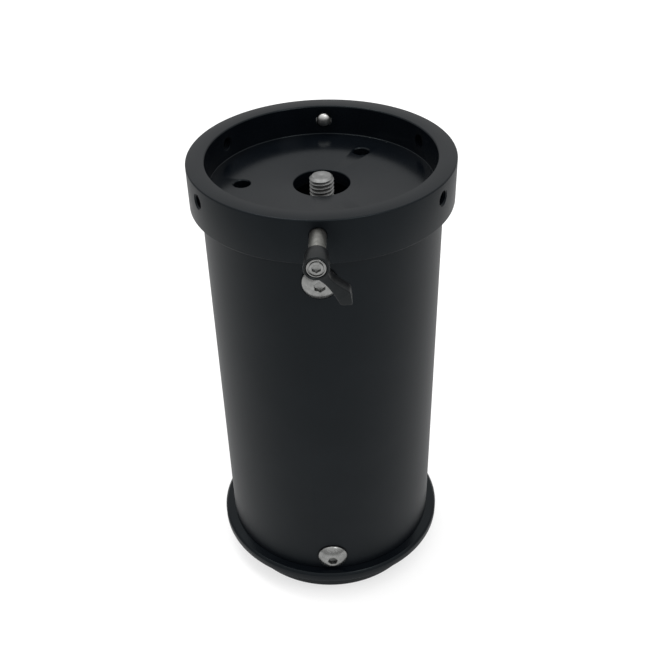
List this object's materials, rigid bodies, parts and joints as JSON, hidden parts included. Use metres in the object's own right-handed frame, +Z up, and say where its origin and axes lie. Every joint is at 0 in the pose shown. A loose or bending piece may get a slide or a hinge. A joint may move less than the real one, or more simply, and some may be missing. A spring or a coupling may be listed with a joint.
{
  "type": "pier extension column",
  "caption": "Short round column with a shallow cup head, captive centre bolt and clamp lever, and a flanged spigot foot, for lifting a small star-tracker head.",
  "frame": {"origin": "centre of the foot's underside, on the column's axis", "axes": "+Z up along the column; -Y out along the clamp lever; +X to the right seen from the lever side"},
  "size_m": [0.104, 0.1251, 0.2],
  "materials": {
    "anodised_body": "satin black anodised, fine turned",
    "tube_body": "matt black anodised, fine blasted",
    "stainless": "bright stainless",
    "zinc_steel": "zinc plated",
    "spring_steel": "drawn spring steel",
    "brass_tip": "turned brass",
    "handle_coat": "matt black powder coat on die-cast zinc"
  },
  "bodies": {
    "column": {"cup_head": "anodised_body", "column_tube": "tube_body", "base_flange": "anodised_body", "tripod_bush": "zinc_steel", "upper_screw_1": "stainless", "upper_screw_2": "stainless", "upper_screw_3": "stainless", "lower_screw_1": "stainless", "lower_screw_2": "stainless", "lower_screw_3": "stainless", "retainer_plate": "zinc_steel", "retainer_screw_1": "stainless", "retainer_screw_2": "stainless", "retainer_screw_3": "stainless"},
    "lever_tip": {"lever_tip": "brass_tip"},
    "lever_stud": {"lever_stud": "stainless", "lever_screw": "stainless", "lever_spring": "spring_steel"},
    "lever_shim": {"lever_shim": "spring_steel"},
    "lever_handle": {"lever_handle": "handle_coat"},
    "rear_tip": {"rear_tip": "stainless"},
    "rear_set_screw": {"rear_set_screw": "stainless"},
    "bolt_washer": {"bolt_washer": "zinc_steel"},
    "centre_bolt": {"centre_bolt": "stainless", "bolt_clip": "spring_steel"}
  },
  "joints": [
    {"name": "lever_advance", "type": "slide", "parent": "column", "child": "lever_tip", "axis": [0, 1, 0], "range_m": [-0.0015, 0.00125]},
    {"name": "lever_turn", "type": "hinge", "parent": "lever_tip", "child": "lever_stud", "pos_m": [0, -0.055, 0.1939], "axis": [0, 1, 0], "range_deg": [-541, 451]},
    {"name": "handle_index", "type": "hinge", "parent": "lever_stud", "child": "lever_shim", "pos_m": [0, -0.07, 0.1939], "axis": [0, 1, 0], "continuous": true},
    {"name": "handle_lift", "type": "slide", "parent": "lever_shim", "child": "lever_handle", "axis": [0, -1, 0], "range_m": [0, 0.0015], "stiffness_N_per_m": 1500, "springref_m": -0.002, "deforming": ["lever_spring"]},
    {"name": "rear_screw_advance", "type": "slide", "parent": "column", "child": "rear_tip", "axis": [0, -1, 0], "range_m": [-0.0015, 0.001]},
    {"name": "rear_screw_turn", "type": "hinge", "parent": "rear_tip", "child": "rear_set_screw", "pos_m": [0, 0.048, 0.1939], "axis": [0, -1, 0], "range_deg": [-541, 361]},
    {"name": "bolt_lift", "type": "slide", "parent": "column", "child": "bolt_washer", "axis": [0, 0, 1], "range_m": [0, 0.008]},
    {"name": "bolt_turn", "type": "hinge", "parent": "bolt_washer", "child": "centre_bolt", "pos_m": [0, 0, 0.175], "axis": [0, 0, 1], "continuous": true}
  ],
  "couplings": [
    {"joint": "lever_turn", "follows": "lever_advance", "rad_per_m": 6283.2},
    {"joint": "rear_screw_turn", "follows": "rear_screw_advance", "rad_per_m": 6283.2}
  ]
}
